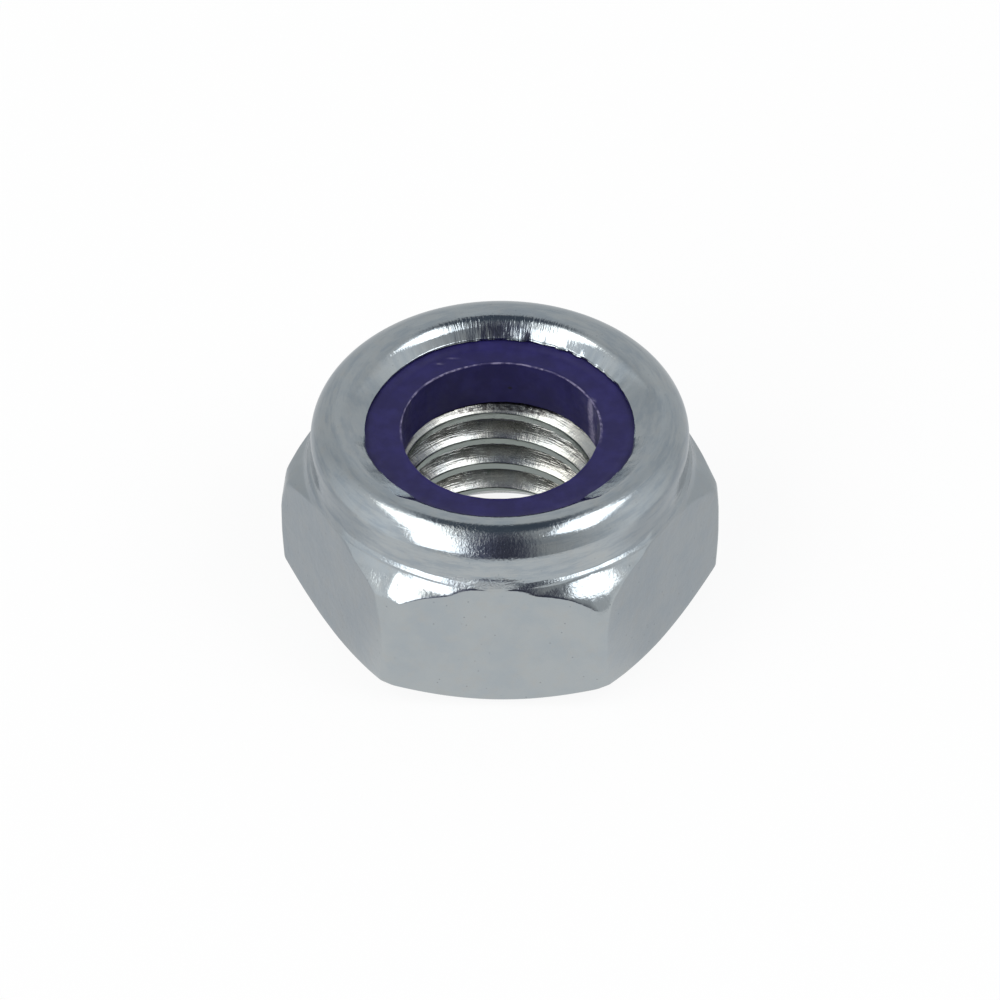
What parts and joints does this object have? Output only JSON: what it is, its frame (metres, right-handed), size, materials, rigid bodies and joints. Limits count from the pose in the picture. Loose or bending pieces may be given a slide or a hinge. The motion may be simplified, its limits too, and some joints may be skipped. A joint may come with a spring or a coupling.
{
  "type": "nylon insert lock nut",
  "caption": "Hexagon lock nut with a rolled collar that holds a nylon ring, which grips the bolt's thread.",
  "frame": {"origin": "centre of the bearing face, on the thread's axis", "axes": "+Z along the thread, from the bearing face to the collar; -Y out of one flat of the hexagon"},
  "size_m": [0.0196, 0.017, 0.0098],
  "materials": {
    "zinc_plated_steel": "electroplated zinc, blue-white passivated, satin with bright rolled edges",
    "nylon": "moulded, dark indigo, faint gloss"
  },
  "bodies": {
    "root": {"nut_body": "zinc_plated_steel", "nylon_insert": "nylon"}
  },
  "joints": []
}
